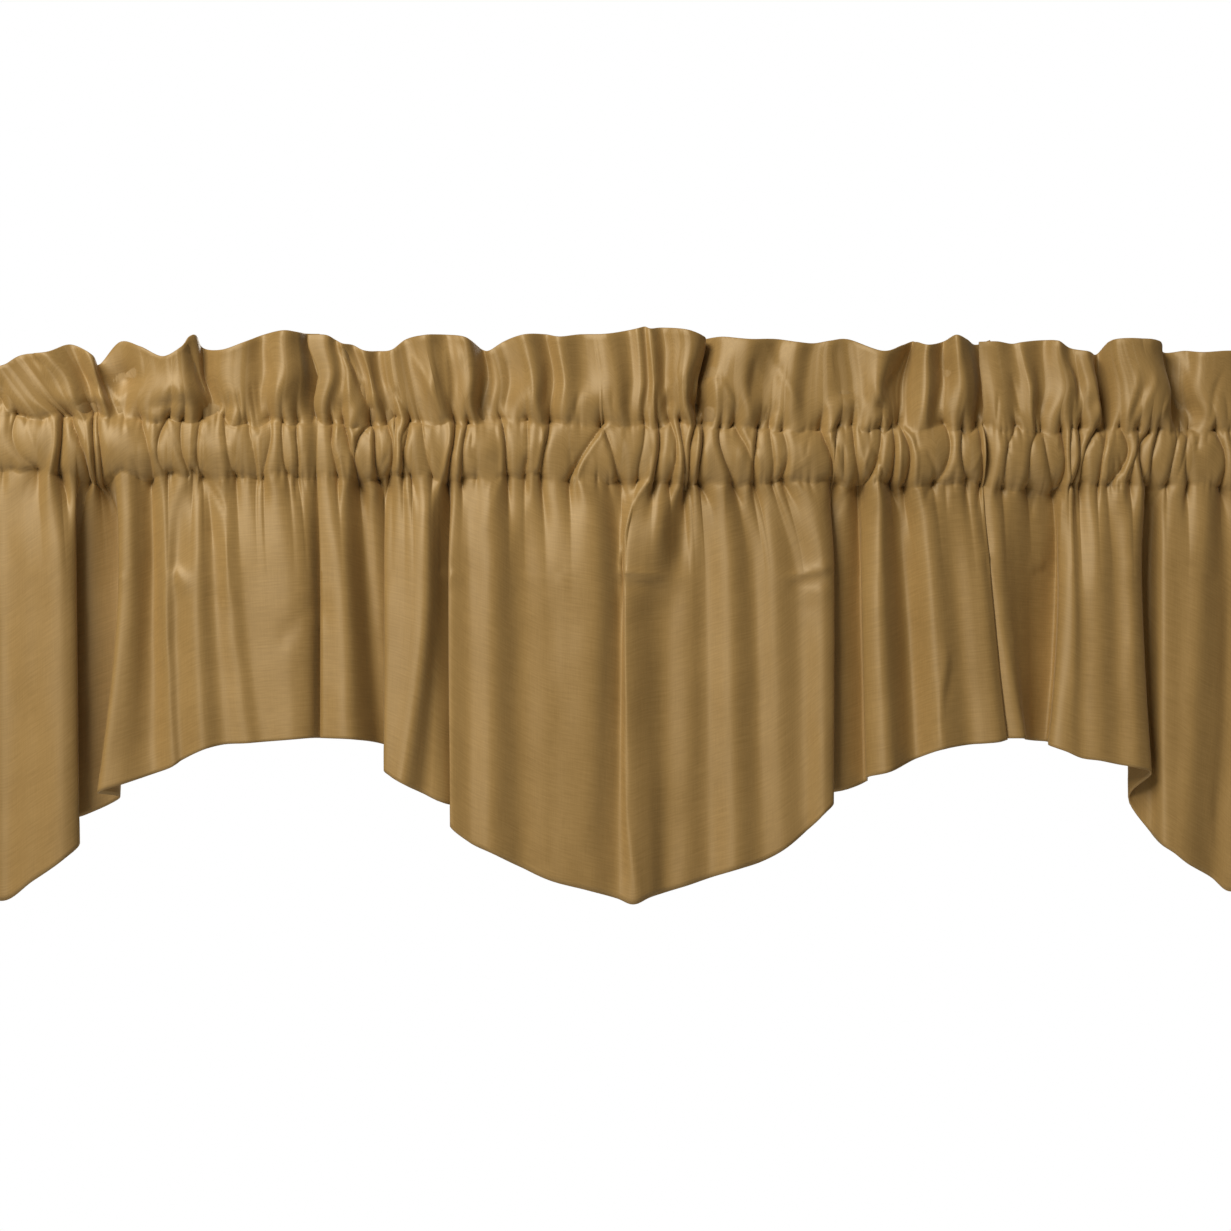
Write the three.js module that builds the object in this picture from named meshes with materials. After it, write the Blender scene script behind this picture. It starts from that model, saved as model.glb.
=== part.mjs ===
// Three gold satin tapered valances, gathered side by side on one rod line.
// Each is one cut of cloth: a ruffled header, an open rod pocket and a skirt with a pointed hem.
import * as THREE from "three";

// Sizes in millimetres. The rod line is the X axis, +Z is up and the room is on the -Y side.
const CLOTH = 1.6; // one layer of cloth
const POCKET_HEIGHT = 46; // between the pocket's two rows of stitching
const POCKET_FRONT = 12; // how far the pocket stands out at its front
const POCKET_BACK = 10; // and at its back
const CHANNEL_END = 4; // stitching to where the two layers part
const PRESS_DROP = 76; // stitching to the crease pressed across the skirt
const STITCH_SHARE = 0.12; // share of a fold's depth that is left at the stitching
const GATHER_PUFF = 2; // how far the pocket puffs out between two of its gathers
const COLUMN_STEP = 10; // cloth between two columns of the surface
const FEWEST_COLUMNS = 2; // from one fold row to the next
const MOST_COLUMNS = 4; // and at most
const GOLD = 0xb08c54;

const named = (columns, rows) =>
  rows.map((row) => Object.fromEntries(columns.map((name, index) => [name, row[index]])));

// A row for each ridge, trough and turned edge of a skirt, from left to right: its x at the
// stitching, at the pressed crease and at the hem, how far it stands out at the last two, and
// how far its hem hangs below the stitching.
const FOLD = ["rod", "press", "hem", "pressOut", "hemOut", "drop"];

const LEFT_FOLDS = named(FOLD, [
  [-725, -722, -718, 1, 1, 205],
  [-710, -703, -699, 9, 10, 205],
  [-692, -688, -682, 2, 2, 208],
  [-672, -669, -654, -8, -12, 213],
  [-669, -668, -670, 2, 3, 220],
  [-656, -649, -649, 11, 12, 227],
  [-632, -629, -624, 5, 6, 236],
  [-612, -607, -602, 9, 10, 244],
  [-591, -590, -584, 3, 4, 252],
  [-573, -569, -550, -8, -12, 263],
  [-570, -569, -567, 2, 3, 273],
  [-553, -549, -544, 12, 12, 285],
  [-530, -526, -521, 7, 7, 301],
  [-506, -502, -499, 11, 11, 316],
  [-479, -479, -475, 7, 7, 331],
  [-460, -457, -452, 10, 10, 316],
  [-440, -432, -428, 13, 13, 299],
  [-425, -423, -418, 4, 4, 287],
  [-422, -441, -447, -13, -16, 276],
  [-412, -416, -416, -14, -16, 266],
  [-402, -387, -391, -18, -18, 253],
  [-392, -390, -404, 5, 6, 248],
  [-384, -381, -389, 7, 7, 243],
  [-368, -365, -363, -5, 0, 234],
  [-355, -354, -347, 5, 6, 228],
  [-343, -346, -340, 3, 4, 223],
  [-329, -329, -323, 10, 10, 215],
  [-320, -317, -308, 5, 5, 211],
  [-310, -305, -290, 9, 9, 210],
  [-298, -294, -278, 7, 7, 209],
  [-262, -256, -253, 12, 12, 207],
  [-249, -243, -241, 9, 9, 206],
  [-238.5, -235, -234, 0, -1, 206],
]);

const CENTRE_FOLDS = named(FOLD, [
  [-237.5, -234, -233, 6, 6, 206],
  [-221, -215, -208, 12, 13, 207],
  [-205, -199, -188, -6, -8, 210],
  [-193, -188, -176, -5, -10, 214],
  [-188, -170, -155, -12, -16, 222],
  [-183, -184, -183, 0, 3, 231],
  [-170, -168, -178, 8, 9, 236],
  [-150, -150, -168, 15, 14, 242],
  [-143, -143, -152, 6, 4, 250],
  [-139, -139, -140, 0, 6, 256],
  [-135, -122, -107, -11, -16, 267],
  [-129, -133, -131, 7, 8, 275],
  [-117, -117, -116, 8, 9, 288],
  [-99, -98, -99, 14, 15, 296],
  [-78, -77, -75, 7, 8, 308],
  [-59, -56, -53, 10, 11, 318],
  [-19, -16, -23, 15, 12, 326],
  [-4, 5, 1, 3, 8, 333],
  [20, 7, 13, 10, 15, 337],
  [29, 21, 26, 9, 11, 332],
  [41, 42, 39, 1, 1, 329],
  [57, 60, 56, 1, 1, 324],
  [68, 73, 75, -1, -2, 318],
  [86, 92, 96, 6, 6, 311],
  [99, 112, 117, 0, 1, 305],
  [115, 127, 134, 4, 4, 296],
  [127, 147, 152, 1, 2, 282],
  [155, 168, 167, 7, 8, 267],
  [173, 177, 175, 2, 2, 258],
  [179, 166, 153, -9, -13, 254],
  [187, 188, 187, -11, -14, 249],
  [197, 203, 206, -15, -17, 242],
  [203, 201, 204, -2, -2, 238],
  [213, 213, 219, 9, 9, 234],
  [227, 237, 244, -10, -8, 224],
  [247, 255, 263, 5, 6, 216],
  [268, 276, 287, 1, 2, 212],
  [283, 289, 300, 5, 5, 211],
  [292, 298, 310, 6, 6, 210],
  [300.5, 306, 318, 2, 2, 208],
]);

const RIGHT_FOLDS = named(FOLD, [
  [301.5, 307, 319, -1, -1, 207],
  [311, 314, 331, 3, 4, 207],
  [327, 329, 337, -5, -10, 208],
  [346, 350, 346, -14, -21, 209],
  [361, 366, 358, -16, -20, 210],
  [367, 365, 354, 0, 1, 213],
  [374, 373, 366, 8, 9, 218],
  [382, 380, 378, 6, 9, 223],
  [393, 393, 392, 10, 12, 225],
  [405, 408, 407, 7, 11, 228],
  [422, 421, 423, 11, 15, 231],
  [436, 431, 435, 4, 9, 235],
  [441, 423, 424, -14, -14, 256],
  [447, 444, 441, -11, -10, 284],
  [454, 450, 446, 3, 3, 294],
  [464, 463, 454, 6, 7, 300],
  [486, 480, 464, 10, 10, 308],
  [502, 505, 486, 1, 5, 320],
  [517, 517, 499, 5, 9, 331],
  [536, 529, 525, 13, 14, 322],
  [560, 559, 553, 2, 3, 315],
  [582, 576, 575, 13, 14, 304],
  [604, 603, 605, 3, 4, 292],
  [608, 597, 582, -10, -14, 282],
  [626, 627, 621, -8, -10, 268],
  [647, 642, 640, 11, 12, 256],
  [671, 670, 669, 0, 1, 247],
  [692, 686, 686, 12, 13, 238],
  [713, 711, 714, 3, 4, 228],
  [716, 706, 691, -10, -14, 222],
  [735, 735, 733, -6, -8, 216],
  [755, 748, 744, 9, 10, 211],
  [772, 767, 763, 4, 4, 209],
]);

// A row for each wave of a header: where it is on the rod, how far its top leans along the rod,
// how far the top stands out, and the height of the top edge.
const WAVE = ["rod", "lean", "out", "rise"];

const LEFT_WAVES = named(WAVE, [
  [-724, 2, 8, 74],
  [-703, 2, 13, 79],
  [-682, -4, -9, 73],
  [-660, 7, 13, 79],
  [-636, 2, 7, 76],
  [-614, 3, 16, 81],
  [-595, -1, -10, 74],
  [-569, 1, 13, 79],
  [-545, 0, 4, 76],
  [-522, 1, 13, 78],
  [-499, -6, -5, 68],
  [-468, -20, 9, 60],
  [-447, -32, 11, 61],
  [-430, -38, 7, 69],
  [-418, -28, 15, 71],
  [-408, -22, 2, 79],
  [-398, -12, -8, 66],
  [-388, -5, -6, 80],
  [-376, 0, 6, 78],
  [-360, 4, 15, 69],
  [-340, -3, 17, 76],
  [-328, -8, 8, 87],
  [-318, -11, -8, 80],
  [-307, -5, 7, 76],
  [-295, 1, 11, 82],
  [-279, -1, 3, 89],
  [-262, -1, 15, 91],
  [-250, -3, 7, 91],
  [-238, -2, -12, 92],
]);

const CENTRE_WAVES = named(WAVE, [
  [-237, -2, 8, 89],
  [-229, 0, 13, 88],
  [-213, -5, 11, 82],
  [-199, -11, 3, 82],
  [-190, -11, 8, 77],
  [-180, -10, -2, 78],
  [-170, -9, 7, 78],
  [-153, -15, 3, 87],
  [-136, -17, 15, 89],
  [-125, -11, 6, 91],
  [-113, -8, 15, 88],
  [-103, -3, -8, 81],
  [-94, -7, -1, 80],
  [-82, -8, 0, 87],
  [-66, -8, 13, 91],
  [-52, -5, 2, 93],
  [-41, -5, 11, 90],
  [-29, 0, 6, 93],
  [4, -12, 11, 93],
  [13, -3, 4, 97],
  [21, -4, 9, 99],
  [33, -6, 11, 98],
  [42, -5, 3, 100],
  [59, 2, 17, 96],
  [69, 1, -13, 92],
  [80, 6, 6, 93],
  [103, 4, 15, 90],
  [119, 13, 4, 92],
  [139, 8, 9, 89],
  [150, 11, 3, 89],
  [171, 3, 6, 91],
  [191, -3, 3, 93],
  [213, 3, 15, 82],
  [224, 10, 2, 89],
  [232, 11, -11, 94],
  [241, 6, 0, 92],
  [251, 2, 12, 88],
  [263, 6, -1, 93],
  [282, -6, 15, 96],
  [290, -3, 5, 94],
  [300, -1, -12, 94],
]);

const RIGHT_WAVES = named(WAVE, [
  [302, -1, 7, 92],
  [320, -9, 11, 92],
  [336, -11, 6, 91],
  [343, -9, 9, 92],
  [350, 1, 2, 95],
  [364, -3, 12, 93],
  [377, -4, 6, 88],
  [394, -9, 12, 85],
  [402, -2, -10, 86],
  [409, -3, 2, 94],
  [419, -9, 15, 95],
  [436, -9, 20, 95],
  [455, -8, 11, 94],
  [463, -6, -11, 88],
  [477, -4, -6, 89],
  [490, -7, 9, 86],
  [510, -7, 13, 87],
  [536, -1, 7, 88],
  [560, -5, 15, 93],
  [584, 9, -10, 89],
  [612, -7, 13, 93],
  [641, 1, 4, 92],
  [667, -6, 15, 95],
  [691, 3, -10, 90],
  [719, -4, 13, 95],
  [749, -4, 7, 93],
  [771, -5, 9, 94],
]);

const VALANCES = [
  { name: "valance_left", folds: LEFT_FOLDS, waves: LEFT_WAVES },
  { name: "valance_centre", folds: CENTRE_FOLDS, waves: CENTRE_WAVES },
  { name: "valance_right", folds: RIGHT_FOLDS, waves: RIGHT_WAVES },
];

const STITCH_TOP = POCKET_HEIGHT / 2;
const STITCH_BOTTOM = -POCKET_HEIGHT / 2;
const { lerp, clamp } = THREE.MathUtils;

// A curve from side to side of the skirt, through one point for each fold.
function across(folds, point) {
  return new THREE.CatmullRomCurve3(folds.map(point), false, "centripetal");
}

// A header's lean, stand-out or top height at one place on the rod.
function wave(waves, key, rod) {
  const last = waves.length - 1;
  const next = clamp(waves.findIndex((row) => row.rod > rod), 1, last);
  const index = rod >= waves[last].rod ? last : next;
  const from = waves[index - 1];
  const to = waves[index];
  return lerp(from[key], to[key], THREE.MathUtils.smoothstep(rod, from.rod, to.rod));
}

// A value at one depth, on a smooth line through its values at stitching, crease and hem.
function downwards(depth, drop, stitch, press, hem) {
  const upper = (press - stitch) / PRESS_DROP;
  const lower = (hem - press) / (drop - PRESS_DROP);
  const turns = upper * lower <= 0;
  const middle = turns ? 0 : (2 * upper * lower) / (upper + lower);
  const above = depth <= PRESS_DROP;
  const length = above ? PRESS_DROP : drop - PRESS_DROP;
  const start = above ? stitch : press;
  const end = above ? press : hem;
  const startSlope = above ? 1.5 * upper - 0.5 * middle : middle;
  const endSlope = above ? middle : 1.5 * lower - 0.5 * middle;
  const t = above ? depth / PRESS_DROP : (depth - PRESS_DROP) / length;
  const ease = t * t * (3 - 2 * t);
  const slopes = startSlope * t * (1 - t) * (1 - t) - endSlope * t * t * (1 - t);
  return lerp(start, end, ease) + slopes * length;
}

// Places along a skirt, from 0 at its left side to 1 at its right, closer together in small folds.
function places(folds) {
  const last = folds.length - 1;
  const list = [];
  for (let index = 0; index < last; index += 1) {
    const from = folds[index];
    const to = folds[index + 1];
    const length = Math.hypot(to.hem - from.hem, to.hemOut - from.hemOut);
    const parts = clamp(Math.round(length / COLUMN_STEP), FEWEST_COLUMNS, MOST_COLUMNS);
    for (let part = 0; part < parts; part += 1) list.push((index + part / parts) / last);
  }
  return [...list, 1];
}

// The middle of the cloth at each place, from the hem up to the header's top edge.
const SKIRT_SHARES = [1, 0.66, 0.33, 0];
const UPPER_SHARES = [0.5, 0];
const POCKET_SHARES = [0.25, 0.5, 0.75];
const HEADER_SHARES = [0, 0.5, 1];

function columns({ folds, waves }) {
  const stitch = across(folds, (fold) => new THREE.Vector3(fold.rod, -fold.pressOut * STITCH_SHARE, 0));
  const press = across(folds, (fold) => new THREE.Vector3(fold.press, -fold.pressOut, 0));
  const hem = across(folds, (fold) => new THREE.Vector3(fold.hem, -fold.hemOut, -fold.drop));
  return places(folds).map((at) => {
    const top = stitch.getPoint(at);
    const crease = press.getPoint(at);
    const low = hem.getPoint(at);
    const drop = -low.z;
    const depths = SKIRT_SHARES.map((share) => lerp(PRESS_DROP, drop, share));
    depths.push(...UPPER_SHARES.map((share) => share * PRESS_DROP));
    const skirt = depths.map((depth) => {
      const x = downwards(depth, drop, top.x, crease.x, low.x);
      const y = downwards(depth, drop, top.y, crease.y, low.y);
      return new THREE.Vector3(x, y, STITCH_BOTTOM - depth);
    });
    const pocket = POCKET_SHARES.map(
      (share) => new THREE.Vector3(top.x, 0, lerp(STITCH_BOTTOM, STITCH_TOP, share)),
    );
    const out = wave(waves, "out", top.x);
    const lean = wave(waves, "lean", top.x);
    const rise = wave(waves, "rise", top.x);
    const header = HEADER_SHARES.map((share) => {
      const y = lerp(top.y, -out, share);
      return new THREE.Vector3(top.x + lean * share, y, lerp(STITCH_TOP, rise, share));
    });
    return { skirt, pocket, header };
  });
}

// The way the cloth faces at one point of a grid of points.
function facing(grid, column, row) {
  const lastColumn = grid.length - 1;
  const lastRow = grid[0].length - 1;
  const right = grid[Math.min(column + 1, lastColumn)][row].clone();
  right.sub(grid[Math.max(column - 1, 0)][row]);
  const up = grid[column][Math.min(row + 1, lastRow)].clone();
  up.sub(grid[column][Math.max(row - 1, 0)]);
  return right.cross(up).normalize();
}

// Front and back of every column, with the open channel of the pocket between them.
function layers(list) {
  const skirtGrid = list.map(({ skirt }) => skirt);
  const headerGrid = list.map(({ header }) => header);
  return list.map(({ skirt, pocket, header }, column) => {
    const front = [];
    const back = [];
    const both = (point, normal, half) => {
      front.push(point.clone().addScaledVector(normal, half));
      back.push(point.clone().addScaledVector(normal, -half));
    };
    const stitchRow = skirt.length - 1;
    skirt.forEach((point, row) => {
      both(point, facing(skirtGrid, column, row), row === stitchRow ? CLOTH : CLOTH / 2);
    });
    const inFront = [];
    const inBack = [];
    const puff = column % 2 === 0 ? 0 : GATHER_PUFF;
    pocket.forEach((point, row) => {
      const bulge = Math.sin(Math.PI * POCKET_SHARES[row]);
      const wall = (side, y) => side.push(new THREE.Vector3(point.x, y, point.z));
      wall(front, -(POCKET_FRONT + puff) * bulge);
      wall(inFront, CLOTH - (POCKET_FRONT + puff) * bulge);
      wall(inBack, (POCKET_BACK + puff) * bulge - CLOTH);
      wall(back, (POCKET_BACK + puff) * bulge);
    });
    header.forEach((point, row) => both(point, facing(headerGrid, column, row), CLOTH));
    const low = new THREE.Vector3(pocket[0].x, 0, STITCH_BOTTOM + CHANNEL_END);
    const high = new THREE.Vector3(pocket[0].x, 0, STITCH_TOP - CHANNEL_END);
    const channel = [low, ...inFront, high, ...inBack.reverse()];
    return { outside: [...front, ...back.reverse()], channel };
  });
}

// The closed surface of one valance.
function surface(list) {
  const positions = [];
  const indices = [];
  const outsideCount = list[0].outside.length;
  const channelCount = list[0].channel.length;
  const stride = outsideCount + channelCount;
  for (const { outside, channel } of list) {
    for (const point of [...outside, ...channel]) positions.push(point.x, point.y, point.z);
  }
  const triangle = (a, b, c) => indices.push(a, b, c);
  const quad = (a, b, c, d) => {
    triangle(a, b, c);
    triangle(a, c, d);
  };
  for (let column = 0; column < list.length - 1; column += 1) {
    const here = column * stride;
    const next = here + stride;
    for (let row = 0; row < outsideCount; row += 1) {
      const above = (row + 1) % outsideCount;
      quad(here + row, next + row, next + above, here + above);
    }
    for (let row = 0; row < channelCount; row += 1) {
      const above = (row + 1) % channelCount;
      const first = here + outsideCount;
      const second = next + outsideCount;
      quad(first + above, second + above, second + row, first + row);
    }
  }
  const skirtRows = SKIRT_SHARES.length + UPPER_SHARES.length;
  const pocketRows = POCKET_SHARES.length;
  const end = (start, flip) => {
    const face = (...corners) => {
      const turned = flip ? corners.reverse() : corners;
      if (turned.length === 3) triangle(...turned);
      else quad(...turned);
    };
    const front = (row) => start + row;
    const back = (row) => start + outsideCount - 1 - row;
    const channel = (row) => start + outsideCount + (row % channelCount);
    const bottom = skirtRows - 1;
    const top = skirtRows + pocketRows;
    const rows = outsideCount / 2;
    for (let row = 0; row < rows - 1; row += 1) {
      if (row >= bottom && row < top) {
        const inside = row - bottom;
        face(front(row), front(row + 1), channel(inside + 1), channel(inside));
        face(channel(channelCount - inside), channel(channelCount - inside - 1), back(row + 1), back(row));
      } else {
        face(front(row), front(row + 1), back(row + 1), back(row));
      }
    }
    face(front(bottom), channel(0), back(bottom));
    face(front(top), back(top), channel(pocketRows + 1));
  };
  end(0, false);
  end((list.length - 1) * stride, true);
  const geometry = new THREE.BufferGeometry();
  geometry.setAttribute("position", new THREE.Float32BufferAttribute(positions, 3));
  geometry.setIndex(indices);
  geometry.computeVertexNormals();
  return geometry;
}

const set = new THREE.Group();
set.name = "tapered_valance";
for (const valance of VALANCES) {
  const cloth = new THREE.MeshStandardMaterial({ color: GOLD, roughness: 0.5, side: THREE.FrontSide });
  const mesh = new THREE.Mesh(surface(layers(columns(valance))), cloth);
  mesh.name = valance.name;
  set.add(mesh);
}

export default set;
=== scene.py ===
import math
from collections import namedtuple

import bpy
import numpy as np
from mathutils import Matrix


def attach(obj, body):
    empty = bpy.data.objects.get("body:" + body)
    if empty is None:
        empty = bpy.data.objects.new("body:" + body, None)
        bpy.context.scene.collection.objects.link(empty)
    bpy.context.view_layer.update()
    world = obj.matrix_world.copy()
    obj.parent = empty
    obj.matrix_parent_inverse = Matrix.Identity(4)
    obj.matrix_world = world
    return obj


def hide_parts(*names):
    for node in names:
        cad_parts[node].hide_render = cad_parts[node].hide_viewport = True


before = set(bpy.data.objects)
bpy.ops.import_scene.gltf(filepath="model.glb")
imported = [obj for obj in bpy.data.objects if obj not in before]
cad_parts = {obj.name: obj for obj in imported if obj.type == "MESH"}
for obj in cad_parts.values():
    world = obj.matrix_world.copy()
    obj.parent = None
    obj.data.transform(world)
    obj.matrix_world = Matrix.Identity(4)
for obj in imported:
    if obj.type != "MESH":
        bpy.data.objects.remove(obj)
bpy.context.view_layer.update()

# Three gold satin tapered valances, gathered side by side on one rod line.
# Sizes in millimetres. The rod line is the X axis, +Z is up and the room is on the -Y side.
# "Out" is how far the cloth stands out from the rod line towards the room.
MM = 0.001  # in metres
CLOTH = 0.7  # one layer of satin
SEWN_GAP = 0.6  # half the distance between two layers that are sewn together
HEM_TURN = 18  # cloth turned up at the hem
HEM_THICK = 1.2  # the hem's layers together
HEM_STEP = 4  # over which the cloth thickens to its hem
TAIL = 7  # end of the cloth, under the lower stitching
FLAT_SIZE = (720, 518)  # one valance before it is gathered, header and pocket turned out

POCKET_HALF = 23  # rod line to either row of stitching
POCKET_FRONT = 10.5  # how far the pocket stands out at its front
POCKET_BACK = 9  # and at its back
POCKET_ROUND = 0.55  # its section, from 0 for a box to 1 for a lens
END_REACH = 7  # how far in from its sides a valance is drawn flat
PRESS_DROP = 76  # stitching to the crease pressed across the skirt
SKIRT_SETTLE = 40  # stitching to where the skirt's own unevenness sets in

# Rows of stitching.
STITCH_SHARE = 0.45  # share of a fold's depth that is left at the stitching
SCALLOP = 3.2  # most that a row of stitching sags between two gathers
SCALLOP_ROOM = 16  # room between two gathers for that much
SEAM_FADE = 9  # how far from the stitching its ups and downs reach
SEAM_OUT = 3  # how far the upper stitching stands out
SEAM_END = 8  # how much less it does at a valance's sides
SEAM_FOLLOW = 0.2  # how far it follows the header out, for each millimetre
UPPER_DROP = 0.15  # how far it sinks where the header stands out, for each millimetre
LOWER_RISE = 0.18  # how far the lower stitching rises where the skirt stands out, for each millimetre

# Header. Powers say how its shape runs from the stitching up to the top.
HEADER_SWING = 0.76  # share of a wave's stand-out that the header takes
HEADER_FLARE = 0.7  # power for standing out
HEADER_LEAN = 1.1  # power for leaning along the rod
SEAM_POWER = 1.5  # power for leaving the stitching's stand-out behind
HEADER_PUFF = 4  # how far the header swells just above its stitching
PUFF_SHARE = 0.28  # where on the header that swelling is widest
PUFF_LEAST = 0.4  # share of that swelling under a wave that doesn't stand out
PUFF_MOST = 1.8  # and its largest share
PUFF_OUT = 14  # how far a wave stands out for a whole share more
HEADER_ALONG = 22  # how far up the gathers draw the header along the rod
SKIRT_ALONG = 30  # how far down they draw the skirt

# Gathers. Widths and places of their parts are shares of a gather's own width.
GATHER_LEAN = 1.2  # how far the edge of a gather leans over
GATHER_STEEP = 1.5  # how steeply its sides fall
GATHER_WIDTH = 0.9  # its width in the middle of the pocket
GATHER_SPREAD = 0.5  # how much wider it is at the stitching
SPREAD_REACH = 8  # how far from the stitching that is so, in millimetres
GATHER_DEPTH = 1.1  # share of its depth for the crease
LIP_HEIGHT = 0.45  # share of its depth for the lip that leans over the crease
LIP_PLACE = 1.9  # crease to lip
LIP_WIDTH = 1.5
PINCH = 0.45  # how far it draws the cloth on both sides together
WOBBLE = 0.8  # how far it wanders on its way over the pocket, in millimetres
WOBBLE_TURN = 5.5  # radians of that from stitching to stitching
PILLOW = 3.2  # most that the cloth swells between two gathers
PILLOW_SHARE = 0.2  # share of the room between two gathers that it swells
LEAST_STRENGTH = (0.8, 0.25, 0.5)  # of a gather at the lower stitching, halfway and at the upper
MOST_STRENGTH = (1.3, 0.75, 1.1)
GATHER_REACH = (0.35, 2.0)  # how far gathers run on past the stitching, against each other
GATHER_SLANT = 0.3  # how much they slant there

# Small gathers and short creases along the stitching, by least and most.
SMALL_ROOM = (4, 8)
SMALL_DEPTH = (-1.0, 2.2)
SMALL_WIDTH = (1.3, 2.6)
SMALL_MOST = 400  # more than fit on any valance
SHORT_STEP = 7.0
SHORT_SHIFT = (-3, 3)
SHORT_MARGIN = 4  # none this close to a valance's sides
SHORT_LENGTH = (8, 26)
SHORT_START = (1, 5)  # from the stitching
SHORT_HEIGHT = (-1.8, 1.2)
SHORT_WIDTH = (1.1, 2.2)
SHORT_SLANT = 0.35

# Profile of a crease: how round its edge is, against its width, and the shares of its length from
# the middle to where it starts to fade, and over which it fades.
CREASE_ROUND = 0.3
CREASE_FULL = 0.3
CREASE_FADE = 0.2

# How gathers draw the cloth away from the stitching: how far that reaches, how soon they widen and
# how much the cloth swells between them.
Draw = namedtuple("Draw", "fade spread pillow")
SKIRT_DRAW = Draw(30, 11, 1.2)
POCKET_DRAW = Draw(1, 1, 0.3)
HEADER_DRAW = Draw(8, 9, 1.8)

# How small gathers run out from the stitching: their depth, how far they reach, how soon they widen.
Pucker = namedtuple("Pucker", "share fade spread")
SKIRT_PUCKER = Pucker(1, 12, 7)
POCKET_PUCKER = Pucker(1, 6, 30)
HEADER_PUCKER = Pucker(0.6, 7, 7)

# Soft random unevenness of the cloth: a seed, its height, and the size of one swell.
Uneven = namedtuple("Uneven", "seed height across down")
SKIRT_SWAY = Uneven(3, 1.0, 30, 100)
SKIRT_RUMPLE = Uneven(4, 0.6, 16, 26)
HEADER_RUMPLE = Uneven(5, 1.1, 22, 24)
HEADER_BEND = Uneven(6, 5, 45, 36)  # along the rod
HEADER_DEPTH = Uneven(9, 0.4, 40, 30)  # as a share of the stand-out

# Soft random wandering along the rod: a seed, its height, and the length of one swell.
Wander = namedtuple("Wander", "seed height length")
UPPER_WANDER = (Wander(5, 3.6, 17), Wander(6, 2.0, 7))  # of the upper stitching, up and down
LOWER_WANDER = (Wander(7, 3.2, 17), Wander(8, 2.0, 7))  # of the lower stitching, up and down
SEAM_WANDER = Wander(11, 2.0, 16)  # of the upper stitching, in and out
POCKET_WANDER = Wander(9, 0.16, 30)  # as a share of the pocket's front
PUFF_WANDER = Wander(10, 0.4, 24)  # as a share of the header's swelling

# Rows and columns of a valance's surface. Below the pressed crease every other column is left out.
COLUMNS = 617
LOWER_ROWS = 24  # hem to pressed crease
UPPER_ROWS = 19  # pressed crease to stitching
POCKET_ROWS = 18
HEADER_ROWS = 17
TOP_ROWS = 2
HEADER_BACK_ROWS = 4
POCKET_BACK_ROWS = 4
EVEN_SHARE = 0.4  # 1 spreads the skirt's rows evenly, 0 crowds them at hem, crease and stitching
ROW_POWER = 1.1  # the header's rows lie closer together near the stitching
FINE_STEPS = 60  # from fold to fold, for spreading the columns
SKIRT_WEIGHT = 0.5  # of the skirt's folds against the pocket's gathers, in spreading them

# Satin, in metres. Each noise has its own repeats across and down one metre, and its own detail.
Noise = namedtuple("Noise", "label repeats detail")
SLUBS = Noise("slubs along the weft", (60, 800, 1), 2)
WARP = Noise("warp floats", (1200, 50, 1), 1)
DYE = Noise("uneven dye", (11, 16, 1), 3)
WARP_IN_TONE = 0.3
DYE_IN_TONE = 0.35
WARP_IN_RELIEF = 0.4
TONE_SPAN = (0.32, 0.68)  # of the threads' tone, from the dark colour to the light one
Finish = namedtuple("Finish", "name dark light roughness sheen")
RIGHT_SIDE = Finish("gold satin", (0.3, 0.179, 0.056), (0.41, 0.253, 0.087), 0.5, 0.3)
WRONG_SIDE = Finish("gold satin wrong side", (0.32, 0.2, 0.075), (0.42, 0.27, 0.105), 0.7, 0.15)

# Studio, in metres and degrees.
FLOOR_RADIUS = 1.9
FLOOR_LEVEL = -1.2
FLOOR_SIDES = 96
LIGHT_COLOUR = (1.0, 0.97, 0.92)
LIT_SPOT = (0.0, 0.0, -0.1)
CAMERA_PLACE = (-0.13694, -1.5923, -0.20778)
CAMERA_TILT = 92.734
CAMERA_TURN = -4.915
CAMERA_LENS = 58.489
CAMERA_SENSOR = 36

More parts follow.
